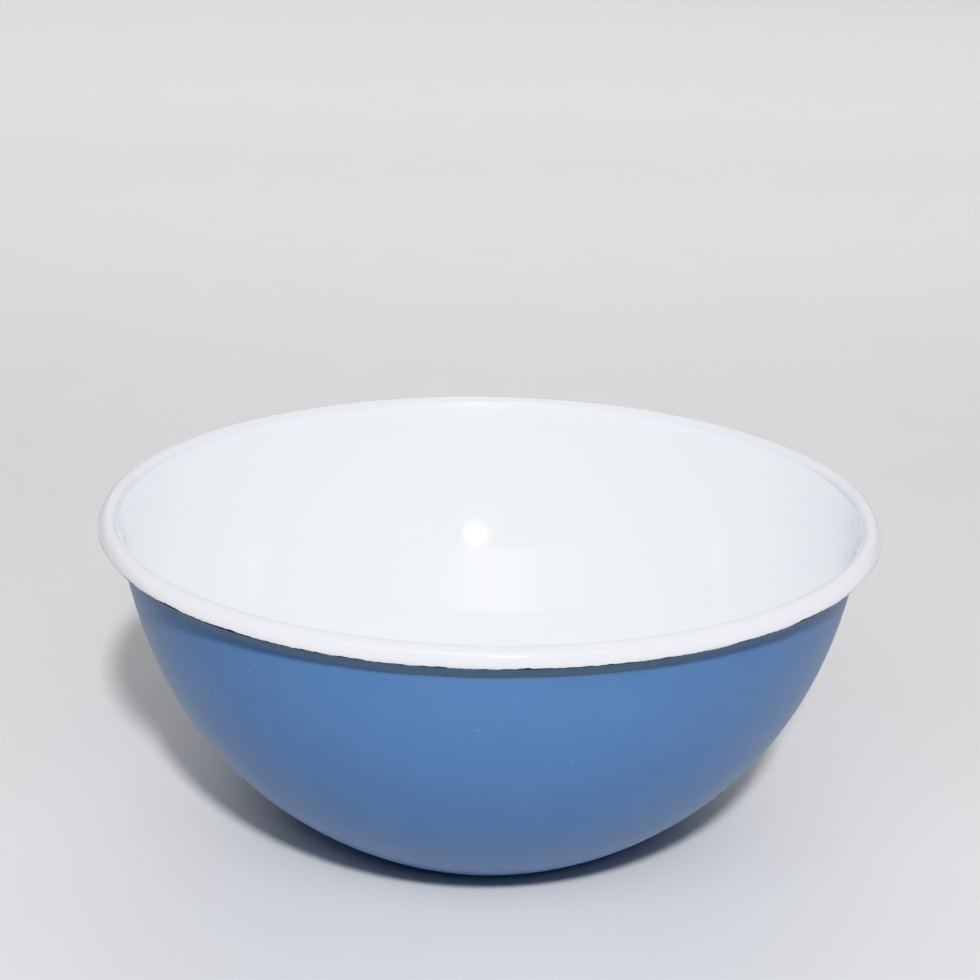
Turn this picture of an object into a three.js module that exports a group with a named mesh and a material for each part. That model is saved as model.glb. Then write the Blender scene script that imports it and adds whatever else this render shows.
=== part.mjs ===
// An enamelled salad bowl: one pressed steel sheet with a curled rim, and the glass coats fired onto it.
// Millimetres, +Z up, origin at the middle of the base where the bowl stands.
import * as THREE from 'three';

// Outer form
const RIM_DIAMETER = 260; // across the finished bead
const BOWL_HEIGHT = 115; // from the table to the top of the finished bead
const BEAD_DIAMETER = 7; // thickness of the finished bead
const BASE_DIAMETER = 94; // flat round of the sheet that the bowl stands on
const BASE_FILLET = 12; // radius of the turn from the base into the wall
const BASE_RISE = 28.5; // slope of the wall just above that turn, in degrees from level
const NECK_LEAN = 18.5; // lean of the wall where the curl starts, in degrees from upright
const LOWER_SWEEP = 77.5; // length over which the wall leaves its slope at the base
const UPPER_SWEEP = 14; // length over which the wall takes up its lean at the neck

// Sheet and coats
const SHEET = 0.8; // thickness of the steel
const GROUND_COAT = 0.1; // dark ground enamel, on each face
const LINING_COAT = 0.2; // white enamel of the inside
const RIM_COAT = 0.2; // white enamel over the bead
const JACKET_COAT = 0.2; // blue enamel of the outside
const BOND_LINE = 0.01; // fused line between a coat and what it is fired onto
const RIM_COAT_DROP = 37; // how far past the bead's widest point its white goes, in degrees round the bead
const CURL_RETURN = 125; // how far past that point the curled sheet goes, in degrees round the bead

// Facets
const AROUND = 40; // sides of every round
const FILLET_STEPS = 2;
const WALL_STEPS = 7;
const NECK_STEPS = 2; // from the neck to the top of the bead
const BEAD_STEPS = 3; // from the top of the bead to its widest point
const DROP_STEPS = 2; // from there to the end of its white
const RETURN_STEPS = 2; // from there to the raw edge of the sheet

const radians = THREE.MathUtils.degToRad;
const heading = (angle) => new THREE.Vector2(Math.cos(angle), Math.sin(angle));

// The master line is the outer face of the bare sheet in section: x is the distance from the axis, y the height.
// Each station keeps its place and the way to the inside of the bowl, which on the curl is away from its centre.
const curlRadius = BEAD_DIAMETER / 2 - RIM_COAT - GROUND_COAT - SHEET;
const curlCentre = new THREE.Vector2((RIM_DIAMETER - BEAD_DIAMETER) / 2, BOWL_HEIGHT - BEAD_DIAMETER / 2);
const seatHeight = JACKET_COAT + GROUND_COAT;

const station = (place, angle) => ({ place, inward: heading(angle + Math.PI / 2) });

function baseStations() {
  const edge = new THREE.Vector2(BASE_DIAMETER / 2, seatHeight);
  return [station(new THREE.Vector2(0, seatHeight), 0), station(edge, 0)];
}

// An arc that turns the sheet from level up to the slope of the lower wall.
function filletStations() {
  const centre = new THREE.Vector2(BASE_DIAMETER / 2, seatHeight + BASE_FILLET);
  return Array.from({ length: FILLET_STEPS }, (_, i) => {
    const slope = radians((BASE_RISE * (i + 1)) / FILLET_STEPS);
    return station(heading(slope - Math.PI / 2).multiplyScalar(BASE_FILLET).add(centre), slope);
  });
}

// One smooth curve from the fillet to the neck, which sets out along the base's slope and arrives at the neck's lean.
function wallStations(start) {
  const rise = heading(radians(BASE_RISE));
  const arrival = radians(90 - NECK_LEAN);
  const neck = heading(arrival + Math.PI / 2).multiplyScalar(curlRadius).add(curlCentre);
  const curve = new THREE.CubicBezierCurve(
    start,
    start.clone().addScaledVector(rise, LOWER_SWEEP),
    neck.clone().addScaledVector(heading(arrival), -UPPER_SWEEP),
    neck,
  );
  return Array.from({ length: WALL_STEPS }, (_, i) => {
    const share = (i + 1) / WALL_STEPS;
    return station(curve.getPoint(share), curve.getTangent(share).angle());
  });
}

// The curl runs clockwise from the neck over the top, down the outside and back under, short of the wall.
// Its turns are in degrees from the neck.
const topTurn = 90 - NECK_LEAN;
const widestTurn = topTurn + 90;
const coatTurn = widestTurn + RIM_COAT_DROP;
const rawEdgeTurn = widestTurn + CURL_RETURN;

function curlStations(from, to, steps) {
  return Array.from({ length: steps }, (_, i) => {
    const turn = from + ((to - from) * (i + 1)) / steps;
    const along = radians(topTurn - turn);
    return station(heading(along + Math.PI / 2).multiplyScalar(curlRadius).add(curlCentre), along);
  });
}

const lower = [...baseStations(), ...filletStations()];
const wall = wallStations(lower.at(-1).place);
const coatedCurl = [
  ...curlStations(0, topTurn, NECK_STEPS),
  ...curlStations(topTurn, widestTurn, BEAD_STEPS),
  ...curlStations(widestTurn, coatTurn, DROP_STEPS),
];
const bareCurl = curlStations(coatTurn, rawEdgeTurn, RETURN_STEPS);
const master = [...lower, ...wall, ...coatedCurl, ...bareCurl];
const neckCount = lower.length + wall.length; // stations up to and including the neck
const rimCoatEnd = neckCount + coatedCurl.length;

// A face of the sheet or of a coat lies a fixed depth to the inside of the master line.
const face = (depth) => master.map(({ place, inward }) => place.clone().addScaledVector(inward, depth));

const innerCover = SHEET + GROUND_COAT; // depth of the inside ground coat's surface
const outerCover = -GROUND_COAT; // depth of the outside ground coat's surface
const sheetOutside = face(0);
const sheetInside = face(SHEET);
const innerGroundBack = face(SHEET + BOND_LINE);
const innerGroundFront = face(innerCover);
const coverBack = face(innerCover + BOND_LINE);
const liningFront = face(innerCover + LINING_COAT);
const rimFront = face(innerCover + RIM_COAT);
const outerGroundBack = face(-BOND_LINE);
const outerGroundFront = face(outerCover);
const jacketBack = face(outerCover - BOND_LINE);
const jacketFront = face(outerCover - JACKET_COAT);

// The inside ground coat closes over the raw edge where the curl stops.
const curlFinish = heading(radians(topTurn - rawEdgeTurn));
const pastEdge = (point, distance) => point.clone().addScaledVector(curlFinish, distance);
const rawEdgeCap = [
  pastEdge(innerGroundBack.at(-1), BOND_LINE),
  pastEdge(sheetOutside.at(-1), BOND_LINE),
  pastEdge(sheetOutside.at(-1), GROUND_COAT),
  pastEdge(innerGroundFront.at(-1), GROUND_COAT),
];

// A solid of revolution between two faces: along the lower face, through any points at its end, back along the upper.
function turned(name, lowerFace, upperFace, finish, endPoints = []) {
  const outline = [...lowerFace, ...endPoints, ...upperFace.slice().reverse()];
  const closed = outline[0].x === 0 ? outline : [...outline, outline[0]];
  const mesh = new THREE.Mesh(new THREE.LatheGeometry(closed, AROUND), new THREE.MeshStandardMaterial(finish));
  mesh.name = name;
  mesh.rotation.x = Math.PI / 2; // the lathe turns about Y
  return mesh;
}

const steel = { color: 0x8b8d90, roughness: 0.35, metalness: 1 };
const groundEnamel = { color: 0x2f3540, roughness: 0.3, metalness: 0 };
const whiteEnamel = { color: 0xeef0f4, roughness: 0.12, metalness: 0 };
const blueEnamel = { color: 0x5a84b9, roughness: 0.35, metalness: 0 };

const belowNeck = (line) => line.slice(0, neckCount);
const roundBead = (line) => line.slice(neckCount - 1, rimCoatEnd);

const bowl = new THREE.Group();
bowl.add(
  turned('steel_body', sheetOutside, sheetInside, steel),
  turned('inner_ground_coat', innerGroundBack, innerGroundFront, groundEnamel, rawEdgeCap),
  turned('outer_ground_coat', belowNeck(outerGroundFront), belowNeck(outerGroundBack), groundEnamel),
  turned('white_lining', belowNeck(coverBack), belowNeck(liningFront), whiteEnamel),
  turned('white_rim', roundBead(coverBack), roundBead(rimFront), whiteEnamel),
  turned('blue_jacket', belowNeck(jacketFront), belowNeck(jacketBack), blueEnamel),
);

export default bowl;
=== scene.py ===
# %% [markdown]
# # An enamelled salad bowl
# The real bowl is one steel sheet, pressed deep, with its edge curled outwards into a hollow bead.
# Glass is fired onto it: a dark ground coat first, then white inside and over the bead, and blue
# outside. The eye meets only glass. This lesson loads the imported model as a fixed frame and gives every
# layer its fine surface. Sizes of the bowl are in millimetres and angles in radians; what goes to
# Blender is in metres.

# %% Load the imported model
import bpy
import numpy as np
from mathutils import Matrix, Vector


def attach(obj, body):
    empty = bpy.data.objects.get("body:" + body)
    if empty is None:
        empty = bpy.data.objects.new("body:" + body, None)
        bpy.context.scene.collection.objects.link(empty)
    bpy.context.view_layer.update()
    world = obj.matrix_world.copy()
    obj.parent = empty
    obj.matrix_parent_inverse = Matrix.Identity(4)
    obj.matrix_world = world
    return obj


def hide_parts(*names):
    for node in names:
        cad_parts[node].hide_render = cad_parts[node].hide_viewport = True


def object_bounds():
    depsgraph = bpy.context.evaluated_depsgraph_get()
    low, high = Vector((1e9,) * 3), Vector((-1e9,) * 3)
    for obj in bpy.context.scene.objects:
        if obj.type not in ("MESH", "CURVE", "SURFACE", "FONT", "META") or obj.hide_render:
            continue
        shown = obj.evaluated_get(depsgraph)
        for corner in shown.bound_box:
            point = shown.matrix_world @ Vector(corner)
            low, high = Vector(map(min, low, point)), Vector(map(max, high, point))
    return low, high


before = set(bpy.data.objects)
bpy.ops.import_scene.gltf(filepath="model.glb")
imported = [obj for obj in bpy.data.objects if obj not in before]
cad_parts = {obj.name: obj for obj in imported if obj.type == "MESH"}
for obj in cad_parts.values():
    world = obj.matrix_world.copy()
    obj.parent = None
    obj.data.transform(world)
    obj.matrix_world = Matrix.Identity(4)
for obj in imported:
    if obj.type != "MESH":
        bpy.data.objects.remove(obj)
cad_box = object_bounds()
MM = 0.001
print("nodes:", sorted(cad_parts))
print("CAD box in mm:", [round(side / MM, 2) for side in cad_box[1] - cad_box[0]])

# %% [markdown]
# ## The camera
# The photograph looks down into the bowl from in front, with a short tele lens. The flattening of the
# rim's ellipse gives the height of the eye, and the rim leans a little to the right, which is the roll
# of the camera. The middle of the rim lies a little below the middle of the picture, so the lens is
# shifted by that much instead of turning the camera, which would change the perspective.

# %% Camera
IMAGE_SIDE = 980
EYE_ELEVATION = np.radians(19.01)
EYE_ROLL = np.radians(-1.066)
EYE_DISTANCE = 650 * MM
LENS = 70.8
SENSOR = 36.0
RIM_MIDDLE_PIXEL = (490.3, 508.05)
BEAD_DIAMETER = 7.0

rim_middle = Vector((0, 0, cad_box[1].z - BEAD_DIAMETER * MM / 2))


def eye_axes(elevation, roll):
    """Right, up and back of a camera in front: back leans up by the elevation, the roll turns the rest."""
    back = Vector((0, -np.cos(elevation), np.sin(elevation)))
    up = Vector((0, np.sin(elevation), np.cos(elevation)))
    right = Vector((1, 0, 0))
    rolled_right = right * np.cos(roll) - up * np.sin(roll)
    rolled_up = right * np.sin(roll) + up * np.cos(roll)
    return rolled_right, rolled_up, back


camera_data = bpy.data.cameras.new("camera")
camera_data.sensor_width = SENSOR
camera_data.lens = LENS
camera_data.shift_x = (IMAGE_SIDE / 2 - RIM_MIDDLE_PIXEL[0]) / IMAGE_SIDE
camera_data.shift_y = (RIM_MIDDLE_PIXEL[1] - IMAGE_SIDE / 2) / IMAGE_SIDE
camera = bpy.data.objects.new("camera", camera_data)
right, up, back = eye_axes(EYE_ELEVATION, EYE_ROLL)
pose = Matrix((right, up, back)).transposed().to_4x4()
pose.translation = rim_middle + back * EYE_DISTANCE
camera.matrix_world = pose
bpy.context.scene.collection.objects.link(camera)
bpy.context.scene.camera = camera
print("eye in mm:", [round(x / MM, 1) for x in pose.translation])

# %% [markdown]
# ## The sheet in section
# Every layer follows the same line, the outer face of the bare sheet: a flat base, a small arc, one
# smooth curve for the wall and a circle for the curl. It could be drawn as a curve object and screwed
# round, but each coat needs the same line at another depth. So the line is worked out once, as points
# with their headings, and a coat's face is that line moved sideways.

# %% Sizes of the section
RIM_RADIUS = cad_box[1].x / MM
BOWL_HEIGHT = cad_box[1].z / MM
BASE_RADIUS = 47.0
BASE_FILLET = 12.0
BASE_RISE = np.radians(28.5)
NECK_LEAN = np.radians(18.5)
LOWER_SWEEP = 77.5
UPPER_SWEEP = 14.0
SHEET = 0.8
GROUND_COAT = 0.1
COVER_COAT = 0.2
RIM_COAT_DROP = np.radians(37.0)
CURL_RETURN = np.radians(125.0)

CURL_RADIUS = BEAD_DIAMETER / 2 - COVER_COAT - GROUND_COAT - SHEET
CURL_CENTRE = np.array([RIM_RADIUS - BEAD_DIAMETER / 2, BOWL_HEIGHT - BEAD_DIAMETER / 2])
SEAT = COVER_COAT + GROUND_COAT
FILLET_CENTRE = np.array([BASE_RADIUS, SEAT + BASE_FILLET])
ARRIVAL = np.pi / 2 - NECK_LEAN
COAT_TURN = ARRIVAL + np.pi / 2 + RIM_COAT_DROP
EDGE_TURN = ARRIVAL + np.pi / 2 + CURL_RETURN
print("radius of the curl in mm:", round(CURL_RADIUS, 2), "about", CURL_CENTRE.round(2))

# %% Stretches of the line


def ways(angle):
    """Unit vectors at the given angles from level."""
    return np.stack([np.cos(angle), np.sin(angle)], -1)


def base_line(steps):
    """Level line from the axis to the edge of the base: place and heading."""
    radius = np.linspace(0, BASE_RADIUS, steps, endpoint=False)
    return np.stack([radius, np.full(steps, SEAT)], -1), np.zeros(steps)


def fillet_line(steps):
    """Arc from level to the wall's rise: centre plus radius times (sine, minus cosine) of the heading."""
    heading = np.linspace(0, BASE_RISE, steps, endpoint=False)
    return FILLET_CENTRE + BASE_FILLET * ways(heading - np.pi / 2), heading


def wall_line(steps):
    """Cubic curve that leaves the fillet along the rise and meets the curl at the neck's lean.
    A place mixes two ends and two handles by powers of t and 1 - t; its heading is the curve's slope."""
    start = FILLET_CENTRE + BASE_FILLET * ways(BASE_RISE - np.pi / 2)
    finish = CURL_CENTRE + CURL_RADIUS * ways(ARRIVAL + np.pi / 2)
    leave = start + LOWER_SWEEP * ways(BASE_RISE)
    arrive = finish - UPPER_SWEEP * ways(ARRIVAL)
    t = np.linspace(0, 1, steps)[:, None]
    place = (1 - t)**3 * start + 3 * t * (1 - t)**2 * leave + 3 * t**2 * (1 - t) * arrive + t**3 * finish
    slope = (1 - t)**2 * (leave - start) + 2 * t * (1 - t) * (arrive - leave) + t**2 * (finish - arrive)
    return place, np.arctan2(slope[:, 1], slope[:, 0])


def curl_line(turn):
    """Circle of the curl, clockwise from the neck: the heading falls by the turn, and the place is
    square to it."""
    heading = ARRIVAL - turn
    return CURL_CENTRE + CURL_RADIUS * ways(heading + np.pi / 2), heading


print("the wall runs from", wall_line(2)[0][0].round(2), "to", wall_line(2)[0][1].round(2), "mm")

# %% Line and faces
BASE_STEPS = 8
FILLET_STEPS = 10
WALL_STEPS = 72
CURL_STEPS = 56


def face(line, depth):
    """The line moved towards the inside of the bowl by a depth, square to its heading."""
    place, heading = line
    return place + np.asarray(depth)[..., None] * ways(heading + np.pi / 2)


def joined(*lines):
    """Several stretches of line, one after the other."""
    return tuple(np.concatenate(parts) for parts in zip(*lines))


below_neck = joined(base_line(BASE_STEPS), fillet_line(FILLET_STEPS), wall_line(WALL_STEPS))
whole_curl = curl_line(np.linspace(0, EDGE_TURN, CURL_STEPS + 1)[1:])
whole_sheet = joined(below_neck, whole_curl)
print("stations below the neck:", len(below_neck[1]), "on the curl:", len(whole_curl[1]))

# %% [markdown]
# ## A solid of revolution
# All six layers are turned about the same axis. A Screw modifier would do it for a plain outline, but
# the white of the rim ends in a ragged line, so its outline changes on the way round. Here an outline
# is an array with a row for each point and a column for each way round, and the mesh is a grid of
# those, closed at the seam and the poles.

# %% Turning
AROUND = 288
SHARP_ANGLE = np.radians(50)


def turned_grid(outline):
    """Points and faces of an outline carried round: at angle t a point lies at (r cos t, r sin t, z).
    An outline that starts and ends on the axis gets one point at each pole; any other closes on itself."""
    rows, around = outline.shape[:2]
    angle = np.arange(around) * 2 * np.pi / around
    radius, height = outline[..., 0], outline[..., 1]
    points = np.stack([radius * np.cos(angle), radius * np.sin(angle), height], -1) * MM
    numbers = np.arange(rows * around).reshape(rows, around)
    has_poles = np.allclose(radius[0], 0)
    if has_poles:
        numbers = np.clip(numbers - around + 1, 0, (rows - 2) * around + 1)
        points = np.concatenate([points[0, :1], points[1:-1].reshape(-1, 3), points[-1, :1]])
    else:
        numbers = np.concatenate([numbers, numbers[:1]])
    near, far = numbers, np.roll(numbers, -1, axis=1)
    quads = np.stack([near[:-1], far[:-1], far[1:], near[1:]], -1)
    if not has_poles:
        return points.reshape(-1, 3), quads.reshape(-1, 4).tolist()
    fans = np.concatenate([quads[0][:, 1:], quads[-1][:, :3]])
    return points, quads[1:-1].reshape(-1, 4).tolist() + fans.tolist()


def turned_solid(name, outline):
    """A smooth piece turned from one outline, or from an outline of its own for every way round."""
    if outline.ndim == 2:
        outline = np.repeat(outline[:, None, :], AROUND, axis=1)
    points, faces = turned_grid(outline)
    mesh = bpy.data.meshes.new(name)
    mesh.from_pydata(points, [], faces)
    mesh.shade_smooth()
    mesh.set_sharp_from_angle(angle=SHARP_ANGLE)
    piece = bpy.data.objects.new(name, mesh)
    bpy.context.scene.collection.objects.link(piece)
    print(name, "has", len(mesh.vertices), "points and", len(mesh.polygons), "faces")
    return piece


def dress(piece, node):
    """The piece rides on the one rigid body and stands for its CAD node, which is hidden."""
    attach(piece, "root")
    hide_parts(node)


print("a round has", AROUND, "sides")

# %% [markdown]
# ## Steel body
# The sheet is pressed from a disc of thin steel and its edge is rolled outwards until it nearly meets
# the wall again. A Solidify modifier could thicken the line, but the coats need its faces at exact
# depths. So its outline goes out along the outer face and comes back along the inner face.

# %% Steel body
outer, inner = face(whole_sheet, 0), face(whole_sheet, SHEET)
steel_body = turned_solid("steel_body_sheet", np.concatenate([outer, inner[::-1]]))
dress(steel_body, "steel_body")

# %% [markdown]
# ## Ground coats
# The first glass on the steel is thin and nearly black, because the oxides in it grip the iron. Inside,
# it runs over the bead and closes over the raw edge of the curl, and under the rim it is left bare as a
# thin dark line. Outside, it stops at the neck, under the bead. A dark stripe in one material could
# show that line, but a film of its own lies lower than the white, as the real one does.

# %% Ground coats
BOND_LINE = 0.01
INNER_COVER = SHEET + GROUND_COAT

back_face, front_face = face(whole_sheet, SHEET + BOND_LINE), face(whole_sheet, INNER_COVER)
past_edge = ways(ARRIVAL - EDGE_TURN)
raw_edge = np.array([
    back_face[-1] + BOND_LINE * past_edge,
    outer[-1] + BOND_LINE * past_edge,
    outer[-1] + GROUND_COAT * past_edge,
    front_face[-1] + GROUND_COAT * past_edge,
])
inner_ground_outline = np.concatenate([back_face, raw_edge, front_face[::-1]])
inner_ground = turned_solid("inner_ground_coat_film", inner_ground_outline)
dress(inner_ground, "inner_ground_coat")

ground_out, ground_in = face(below_neck, -GROUND_COAT), face(below_neck, -BOND_LINE)
outer_ground = turned_solid("outer_ground_coat_film", np.concatenate([ground_out, ground_in[::-1]]))
dress(outer_ground, "outer_ground_coat")

# %% [markdown]
# ## White lining
# The white of the inside and the white of the bead are two coats, and a faint line at the neck shows
# where they meet: each thins a little towards it. A crease in the bump would only fake that line from
# some sides, so the thickness itself falls there.

# %% White lining
SEAM_WIDTH = 1.2
SEAM_THINNING = 0.1


def seam_thickness(distance):
    """Coat thickness near the seam: over the seam's width it falls by a share, along half a cosine wave."""
    inside = np.clip(distance / SEAM_WIDTH, 0, 1)
    return COVER_COAT * (1 - SEAM_THINNING * (1 + np.cos(np.pi * inside)) / 2)


to_neck = np.linalg.norm(below_neck[0] - below_neck[0][-1], axis=1)
lining_front = face(below_neck, INNER_COVER + seam_thickness(to_neck))
lining_back = face(below_neck, INNER_COVER + BOND_LINE)
lining = turned_solid("white_lining_glaze", np.concatenate([lining_back, lining_front[::-1]]))
dress(lining, "white_lining")

# %% [markdown]
# ## White rim
# The rim's coat ends under the bead in a ragged rounded edge, as brushed slip does, and that edge lies
# a little lower in front and behind than at the sides. The rag could be painted on, but then the dark
# line below it would be flat, so the coat's own edge wanders round the rim.

# %% Ragged end of the rim's white
RIM_AROUND = 1440
RAG = 0.24
RAG_SEED = 2447
FEWEST_WAVES = 3
SLOW_WAVES, SLOW_COUNT = 40, 12
FINE_WAVES, FINE_COUNT = 420, 60
FINE_SHARE = 0.9
FRONT_DROP = np.radians(6)
SIDE_LIFT = np.radians(17)

draw = np.random.default_rng(RAG_SEED)


def wander(angle, most_waves, count):
    """Sum of sines round the rim with whole numbers of waves, each weaker as its waves get shorter.
    The sum is divided by its own spread, which makes its spread one."""
    waves = draw.integers(FEWEST_WAVES, most_waves, count)
    share = draw.normal(size=count) / np.sqrt(waves)
    start = draw.uniform(0, 2 * np.pi, count)
    total = np.sin(waves * angle[:, None] + start) @ share
    return total / total.std()


coat_radius = BEAD_DIAMETER / 2
way_round = np.arange(RIM_AROUND) * 2 * np.pi / RIM_AROUND
slow_rag = wander(way_round, SLOW_WAVES, SLOW_COUNT)
fine_rag = wander(way_round, FINE_WAVES, FINE_COUNT)
rag = slow_rag + FINE_SHARE * fine_rag
lift = (SIDE_LIFT - FRONT_DROP) / 2 + (SIDE_LIFT + FRONT_DROP) / 2 * np.cos(2 * way_round)
coat_end = COAT_TURN - lift + RAG / coat_radius * rag
ends = np.degrees([coat_end.min(), coat_end.max()]).round()
print("the rim's white ends", ends, "degrees past the neck")

# %% White rim
RIM_STEPS = 34
EDGE_WIDTH = 0.4

share = (1 - np.cos(np.linspace(0, np.pi, RIM_STEPS))) / 2
turn = share[:, None] * coat_end
to_seam = turn * coat_radius
to_edge = np.clip((coat_end - turn) * coat_radius / EDGE_WIDTH, 0, 1)
thickness = seam_thickness(to_seam) * np.sqrt(1 - (1 - to_edge)**2)
rim_front = face(curl_line(turn), INNER_COVER + np.maximum(thickness, BOND_LINE))
rim_back = face(curl_line(turn), np.full(turn.shape, INNER_COVER + BOND_LINE))
rim = turned_solid("white_rim_glaze", np.concatenate([rim_back, rim_front[-2::-1]]))
dress(rim, "white_rim")

# %% [markdown]
# ## Blue jacket
# The blue covers the outside and the underside of the base, and runs up behind the bead to the neck. It
# is fired to a satin face, so it needs no more shape than the wall itself: its life is in the material.

# %% Blue jacket
jacket_out, jacket_in = face(below_neck, -SEAT), face(below_neck, -GROUND_COAT - BOND_LINE)
jacket = turned_solid("blue_jacket_glaze", np.concatenate([jacket_out, jacket_in[::-1]]))
dress(jacket, "blue_jacket")

# %% [markdown]
# ## Finishes
# A material here starts from what the real surface is. Colours are written as the hex values seen on
# screen and turned to linear by one function, and the scale of each pattern comes from a size in
# millimetres.

# %% Colours and sizes


def linear(hex_colour):
    """sRGB hex to linear RGBA: a straight part near black, and a power of 2.4 above it."""
    value = np.array([int(hex_colour[i:i + 2], 16) for i in (1, 3, 5)]) / 255
    low, high = value / 12.92, ((value + 0.055) / 1.055)**2.4
    return (*np.where(value <= 0.04045, low, high).tolist(), 1.0)


def per_metre(size_mm):
    """Texture scale that makes one feature of a noise or cell pattern about this many millimetres wide."""
    return 1 / (size_mm * MM)


print("a middle grey on screen is", round(linear("#808080")[0], 3), "in linear light")

# %% Nodes


def add(tree, kind, feeds=None, **settings):
    """Adds a node: settings are its own fields, and feeds are values or links for its sockets."""
    made = tree.nodes.new(kind)
    for field, value in settings.items():
        setattr(made, field, value)
    for socket, value in (feeds or {}).items():
        if isinstance(value, bpy.types.NodeSocket):
            tree.links.new(value, made.inputs[socket])
        else:
            made.inputs[socket].default_value = value
    return made


def new_finish(name):
    """An empty node material with its shader and output, and the place on the object that patterns read."""
    material = bpy.data.materials.new(name)
    material.use_nodes = True
    tree = material.node_tree
    tree.nodes.clear()
    shader = add(tree, "ShaderNodeBsdfPrincipled")
    add(tree, "ShaderNodeOutputMaterial", {"Surface": shader.outputs["BSDF"]})
    place = add(tree, "ShaderNodeTexCoord").outputs["Object"]
    return material, tree, shader, place


def drift(tree, place, width_mm, detail, darker, lighter):
    """Colour that drifts between two tones by a noise of this width."""
    pattern = {"Vector": place, "Scale": per_metre(width_mm), "Detail": detail}
    noise = add(tree, "ShaderNodeTexNoise", pattern)
    tones = {"Factor": noise.outputs["Fac"], "A": linear(darker), "B": linear(lighter)}
    return add(tree, "ShaderNodeMix", tones, data_type="RGBA").outputs["Result"]


print("a pattern of 1 mm has a scale of", round(per_metre(1)))

# %% [markdown]
# ### White vitreous enamel
# Opaque white glass, fired until it flows level. It is glossy, faintly cool, and its surface keeps a
# long soft ripple that bends reflections a little, as orange peel does. On the bead it is brushed on
# thin over the dark ground coat, so it is a little greyer there. The lining loses some of its gloss
# where it thins towards the seam.

# %% White enamel
TONE_WIDTH = 30
RIPPLE_WIDTH = 9
RIPPLE_DEPTH = 0.02
GLASS_IOR = 1.52
GLOSSY = 0.07
DULL = 0.3
DULL_FROM = 105
DULL_TO = 110


def white_glass(name, darker, lighter):
    """Glossy white that drifts between two tones over a few centimetres, with a low ripple on its face."""
    material, tree, shader, place = new_finish(name)
    white = drift(tree, place, TONE_WIDTH, 3.0, darker, lighter)
    swell = {"Vector": place, "Scale": per_metre(RIPPLE_WIDTH), "Detail": 1.0}
    ripple = add(tree, "ShaderNodeTexNoise", swell)
    rise = {"Height": ripple.outputs["Fac"], "Distance": RIPPLE_DEPTH * MM, "Strength": 1.0}
    peel = add(tree, "ShaderNodeBump", rise)
    shader.inputs["Roughness"].default_value = GLOSSY
    shader.inputs["IOR"].default_value = GLASS_IOR
    tree.links.new(white, shader.inputs["Base Color"])
    tree.links.new(peel.outputs["Normal"], shader.inputs["Normal"])
    return material, tree, shader, place


rim_enamel = white_glass("white_rim_enamel", "#dedfe5", "#e2e4e9")[0]
white_enamel, tree, shader, place = white_glass("white_vitreous_enamel", "#eaedf1", "#eef1f4")
height = add(tree, "ShaderNodeSeparateXYZ", {"Vector": place}).outputs["Z"]
dulling = {"Value": height, "From Min": DULL_FROM * MM, "From Max": DULL_TO * MM,
           "To Min": GLOSSY, "To Max": DULL}
gloss = add(tree, "ShaderNodeMapRange", dulling, interpolation_type="SMOOTHSTEP")
tree.links.new(gloss.outputs["Result"], shader.inputs["Roughness"])
lining.data.materials.append(white_enamel)
rim.data.materials.append(rim_enamel)
print("whites:", white_enamel.name, "and", rim_enamel.name)

# %% [markdown]
# ### Blue satin enamel
# Coloured glass fired a little short of full gloss, so it scatters what it reflects and turns pale at
# the edges of the bowl. Fine grains of pigment mottle it, and a few pale specks of unmelted frit sit in it.
# The narrow ring under the bead has painted shade: a greyer tone where the bead's shadow falls. Specks
# could be tiny meshes, but they lie in the glass and not on it, so they are chosen cells of a pattern.

# %% Blue of the jacket
CLOUD_WIDTH = 14
GRAIN_WIDTH = 1.6
GRAIN_SHARE = 0.45
DEEP_BLUE = "#50719c"
LIGHT_BLUE = "#5878a6"

blue_enamel, tree, shader, place = new_finish("blue_satin_enamel")
cloud = add(tree, "ShaderNodeTexNoise", {"Vector": place, "Scale": per_metre(CLOUD_WIDTH), "Detail": 4.0})
grain = add(tree, "ShaderNodeTexNoise", {"Vector": place, "Scale": per_metre(GRAIN_WIDTH), "Detail": 2.0})
shares = {"Factor": GRAIN_SHARE, "A": cloud.outputs["Fac"], "B": grain.outputs["Fac"]}
mottle = add(tree, "ShaderNodeMix", shares)
blues = {"Factor": mottle.outputs["Result"], "A": linear(DEEP_BLUE), "B": linear(LIGHT_BLUE)}
blue = add(tree, "ShaderNodeMix", blues, data_type="RGBA")
print("deepest blue in linear light:", np.round(linear(DEEP_BLUE)[:3], 3))

# %% Specks of frit
SPECK_SPACING = 7
SPECK_CORE = 0.14
SPECK_EDGE = 0.56
SPECK_STRENGTH = 0.13
BARE_CELLS = 0.62
FRIT_TONE = "#c9d8e8"

cells = add(tree, "ShaderNodeTexVoronoi", {"Vector": place, "Scale": per_metre(SPECK_SPACING)})
chosen = add(tree, "ShaderNodeMath", {0: cells.outputs["Color"], 1: BARE_CELLS}, operation="GREATER_THAN")
reach = {"From Min": SPECK_CORE / SPECK_SPACING, "From Max": SPECK_EDGE / SPECK_SPACING}
fade = {"Value": cells.outputs["Distance"], **reach, "To Min": SPECK_STRENGTH, "To Max": 0.0}
speck = add(tree, "ShaderNodeMapRange", fade)
both = {0: chosen.outputs["Value"], 1: speck.outputs["Result"]}
frit = add(tree, "ShaderNodeMath", both, operation="MULTIPLY")
sprinkled = {"Factor": frit.outputs["Value"], "A": blue.outputs["Result"], "B": linear(FRIT_TONE)}
speckled = add(tree, "ShaderNodeMix", sprinkled, data_type="RGBA")
print("specks are up to", 2 * SPECK_EDGE, "mm across, in cells of", SPECK_SPACING, "mm")

# %% Painted shade under the bead and satin face
SHADE_RING_FROM = 102.7
SHADE_RING_TO = 105
PAINTED_SHADE_TONE = "#6d839f"
TOOTH_WIDTH = 0.9
TOOTH_DEPTH = 0.01
TOOTH_STRENGTH = 0.6
SATIN_ROUGHNESS = 0.33
SATIN_IOR = 1.35

# Painted shade: the blue turns greyer in the ring under the bead, where the bead's shadow falls.
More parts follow.
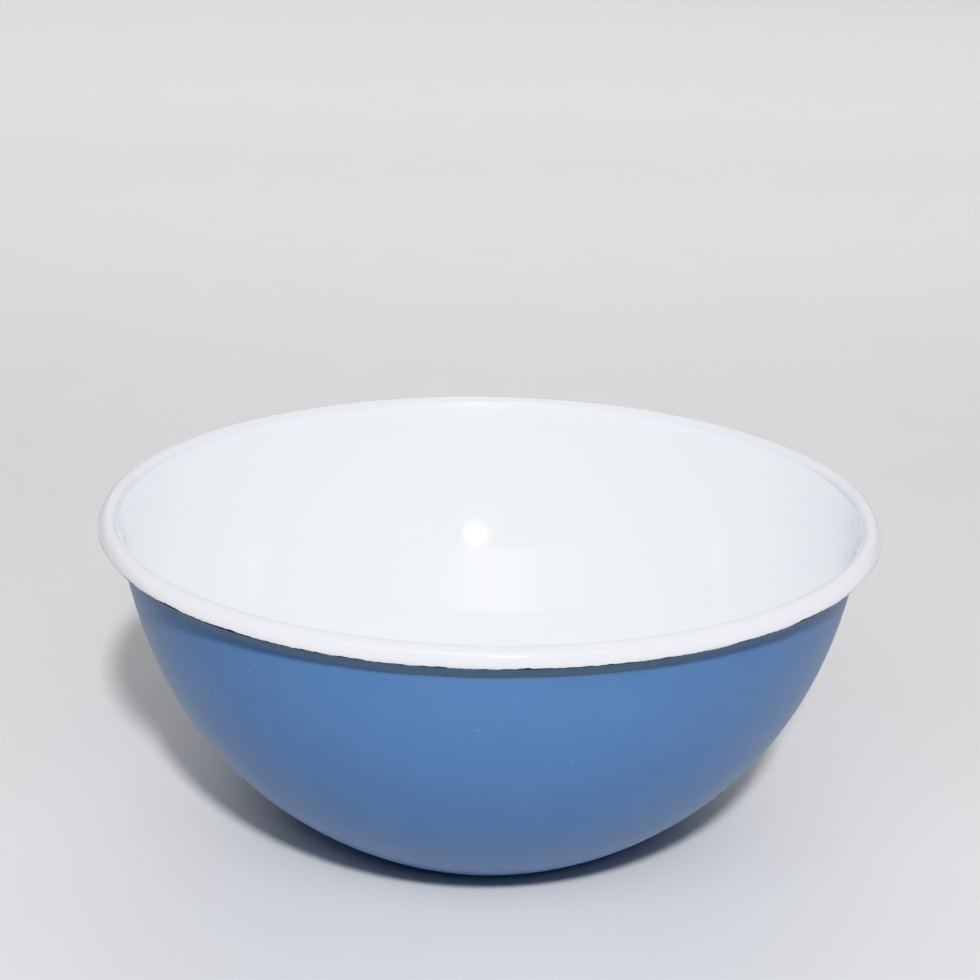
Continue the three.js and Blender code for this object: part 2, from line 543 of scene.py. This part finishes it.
height = add(tree, "ShaderNodeSeparateXYZ", {"Vector": place}).outputs["Z"]
rising = {"Value": height, "From Min": SHADE_RING_FROM * MM, "From Max": SHADE_RING_TO * MM}
painted_shade_ring = add(tree, "ShaderNodeMapRange", rising, interpolation_type="SMOOTHSTEP")
shade_tones = {"Factor": painted_shade_ring.outputs["Result"], "A": speckled.outputs["Result"], "B": linear(PAINTED_SHADE_TONE)}
body = add(tree, "ShaderNodeMix", shade_tones, data_type="RGBA")
tooth = add(tree, "ShaderNodeTexNoise", {"Vector": place, "Scale": per_metre(TOOTH_WIDTH), "Detail": 2.0})
rise = {"Height": tooth.outputs["Fac"], "Distance": TOOTH_DEPTH * MM, "Strength": TOOTH_STRENGTH}
skin = add(tree, "ShaderNodeBump", rise)
shader.inputs["Roughness"].default_value = SATIN_ROUGHNESS
shader.inputs["IOR"].default_value = SATIN_IOR
tree.links.new(body.outputs["Result"], shader.inputs["Base Color"])
tree.links.new(skin.outputs["Normal"], shader.inputs["Normal"])
jacket.data.materials.append(blue_enamel)
print(blue_enamel.name, "has", len(tree.nodes), "nodes")

# %% [markdown]
# ### Ground enamel and bare steel
# The ground coat is a thin blue-black glass, matt where it is left bare. The steel is bare only inside
# the curl, where the slip doesn't reach; it is pressed sheet, dull from the furnace.

# %% Ground enamel
SOOT_WIDTH = 3
GROUND_ROUGHNESS = 0.6
GROUND_IOR = 1.4

ground_enamel, tree, shader, place = new_finish("blue_black_ground_enamel")
shader.inputs["Roughness"].default_value = GROUND_ROUGHNESS
shader.inputs["IOR"].default_value = GROUND_IOR
tree.links.new(drift(tree, place, SOOT_WIDTH, 3.0, "#101216", "#1d2128"), shader.inputs["Base Color"])
inner_ground.data.materials.append(ground_enamel)
outer_ground.data.materials.append(ground_enamel)
print(ground_enamel.name, "has", len(tree.nodes), "nodes")

# %% Steel
SCALE_WIDTH = 4
STEEL_ROUGHNESS = 0.45

steel, tree, shader, place = new_finish("furnace_dulled_steel")
shader.inputs["Metallic"].default_value = 1.0
shader.inputs["Roughness"].default_value = STEEL_ROUGHNESS
tree.links.new(drift(tree, place, SCALE_WIDTH, 5.0, "#7b7a7a", "#96979a"), shader.inputs["Base Color"])
steel_body.data.materials.append(steel)
print(steel.name, "has", len(tree.nodes), "nodes")

# %% [markdown]
# ## Floor
# The photograph's ground is plain white, so the floor is a wide sheet of pale paper. A glowing backdrop
# would be simpler, but the blue needs the soft light that a lit floor throws back onto it.

# %% Floor
FLOOR_HALF = 8000 * MM
FIBRE_WIDTH = 60
PAPER_ROUGHNESS = 0.9

floor_mesh = bpy.data.meshes.new("floor")
floor_corners = FLOOR_HALF * np.array([[-1, -1, 0], [1, -1, 0], [1, 1, 0], [-1, 1, 0]])
floor_mesh.from_pydata(floor_corners, [], [(0, 1, 2, 3)])
floor = bpy.data.objects.new("floor", floor_mesh)
bpy.context.scene.collection.objects.link(floor)
floor_paper, tree, shader, place = new_finish("pale_backdrop_paper")
shader.inputs["Roughness"].default_value = PAPER_ROUGHNESS
tree.links.new(drift(tree, place, FIBRE_WIDTH, 3.0, "#cfcfd0", "#d2d2d3"), shader.inputs["Base Color"])
floor_mesh.materials.append(floor_paper)
print("floor in m:", 2 * FLOOR_HALF, "square")

# %% [markdown]
# ## Light in front
# What lights the glass and what it mirrors were matched one after the other, so most lamps do only one
# of the two: Blender can leave a lamp out of diffuse or of glossy light. The key lamp gives the form
# and the shadow under the bead. The round lamp is only mirrored, as the round spot inside and the
# bright dashes on the bead. The soft panel fills in from above, and its glint, which is only mirrored,
# draws the faint rectangle on the far wall. The glint stands a little ahead of the panel, because of
# two lamps in one place only one is mirrored.

# %% Lamps


def area_light(name, place, target, shape, size, watts):
    """A flat lamp at a place that faces a target."""
    data = bpy.data.lights.new(name, "AREA")
    data.shape = shape
    data.size, data.size_y = size
    data.energy = watts
    lamp = bpy.data.objects.new(name, data)
    lamp.location = place
    lamp.rotation_mode = "QUATERNION"
    lamp.rotation_quaternion = (target - place).to_track_quat("-Z", "Y")
    lamp.visible_camera = False
    bpy.context.scene.collection.objects.link(lamp)
    print(name, "gives", round(watts, 2), "W")
    return lamp


def watts_for(radiance, size):
    """Power of a flat lamp with this radiance: pi times the radiance times the area."""
    return np.pi * radiance * size[0] * size[1]


def fade_sideways(lamp, middle, side, reach):
    """A lamp's radiance falls in a smooth step along its width, from its middle to a reach each way."""
    lamp.data.use_nodes = True
    tree = lamp.data.node_tree
    tree.nodes.clear()
    place = add(tree, "ShaderNodeTexCoord").outputs["Object"]
    along = add(tree, "ShaderNodeSeparateXYZ", {"Vector": place}).outputs["X"]
    away = add(tree, "ShaderNodeMath", {0: along}, operation="ABSOLUTE").outputs["Value"]
    falls = {"Value": away, "From Min": 0.0, "From Max": reach, "To Min": middle, "To Max": side}
    radiance = add(tree, "ShaderNodeMapRange", falls, interpolation_type="SMOOTHSTEP").outputs["Result"]
    glow = add(tree, "ShaderNodeEmission", {"Strength": radiance})
    add(tree, "ShaderNodeOutputLight", {"Surface": glow.outputs["Emission"]})


print("a lamp of 1 m by 1 m and radiance 1 needs", round(watts_for(1, (1, 1)), 3), "W")

# %% Key lamp and round lamp
KEY_PLACE = Vector((115, -1245, 1095)) * MM
KEY_SIZE = (115 * MM, 115 * MM)
KEY_WATTS = 26.4
LAMP_PLACE = Vector((145.5, -1463.1, 925.3)) * MM
LAMP_SIZE = (222 * MM, 222 * MM)
LAMP_WATTS = 55.0

key_lamp = area_light("key_lamp", KEY_PLACE, rim_middle, "DISK", KEY_SIZE, KEY_WATTS)
key_lamp.visible_glossy = False
round_lamp = area_light("round_lamp", LAMP_PLACE, rim_middle, "DISK", LAMP_SIZE, LAMP_WATTS)
round_lamp.visible_diffuse = False

# %% Soft panel and its glint
PANEL_PLACE = Vector((-34, -989, 1137)) * MM
PANEL_SIZE = (1758 * MM, 590 * MM)
PANEL_WATTS = 5.0
GLINT_MIDDLE = 19.0
GLINT_SIDE = 3.5
GLINT_REACH = 600 * MM
GLINT_AHEAD = 20 * MM

area_light("soft_panel", PANEL_PLACE, rim_middle, "RECTANGLE", PANEL_SIZE, PANEL_WATTS)
glint_place = PANEL_PLACE + GLINT_AHEAD * (rim_middle - PANEL_PLACE).normalized()
glint_watts = watts_for(1.0, PANEL_SIZE)
panel_glint = area_light("panel_glint", glint_place, rim_middle, "RECTANGLE", PANEL_SIZE, glint_watts)
panel_glint.visible_diffuse = False
fade_sideways(panel_glint, GLINT_MIDDLE, GLINT_SIDE, GLINT_REACH)

# %% [markdown]
# ## Light all round
# The room is an even white. A fill behind the bowl lifts its back and the ends of the bead, and its
# beam is narrowed so that it leaves no edge on the floor. A lamp over the backdrop keeps the floor pale
# up to the top of the picture, and a dim wall far behind is there only for the glass to mirror.

# %% Room
ROOM_STRENGTH = 0.2

world = bpy.data.worlds.new("white_room")
world.use_nodes = True
room = world.node_tree.nodes["Background"]
room.inputs["Color"].default_value = (1, 1, 1, 1)
room.inputs["Strength"].default_value = ROOM_STRENGTH
bpy.context.scene.world = world
print("strength of the room:", ROOM_STRENGTH)

# %% Fill, backdrop and back wall
FILL_PLACE = Vector((0, 1500, 1000)) * MM
FILL_SIZE = (2000 * MM, 900 * MM)
FILL_WATTS = 3.2
FILL_SPREAD = np.radians(90)
BACKDROP_PLACE = Vector((0, 2800, 2200)) * MM
BACKDROP_SIZE = (5000 * MM, 4000 * MM)
BACKDROP_WATTS = 61
BACKDROP_SPREAD = np.radians(70)
WALL_PLACE = Vector((0, 5000, 1000)) * MM
WALL_SIZE = (3400 * MM, 2000 * MM)
WALL_RADIANCE = 0.3

back_fill = area_light("back_fill", FILL_PLACE, rim_middle, "RECTANGLE", FILL_SIZE, FILL_WATTS)
back_fill.visible_glossy = False
back_fill.data.spread = FILL_SPREAD
below = Vector((BACKDROP_PLACE.x, BACKDROP_PLACE.y, 0))
backdrop_light = area_light(
    "backdrop_light", BACKDROP_PLACE, below, "RECTANGLE", BACKDROP_SIZE, BACKDROP_WATTS)
backdrop_light.data.spread = BACKDROP_SPREAD
wall_watts = watts_for(WALL_RADIANCE, WALL_SIZE)
back_wall = area_light("back_wall", WALL_PLACE, rim_middle, "RECTANGLE", WALL_SIZE, wall_watts)
back_wall.visible_diffuse = False

# %% [markdown]
# ## Closing
# A neutral view keeps the colours of the glass as they are and only rolls off the brightest whites. The
# looks stay inside the size of the imported model.

# %% View
bpy.context.scene.view_settings.view_transform = "Khronos PBR Neutral"
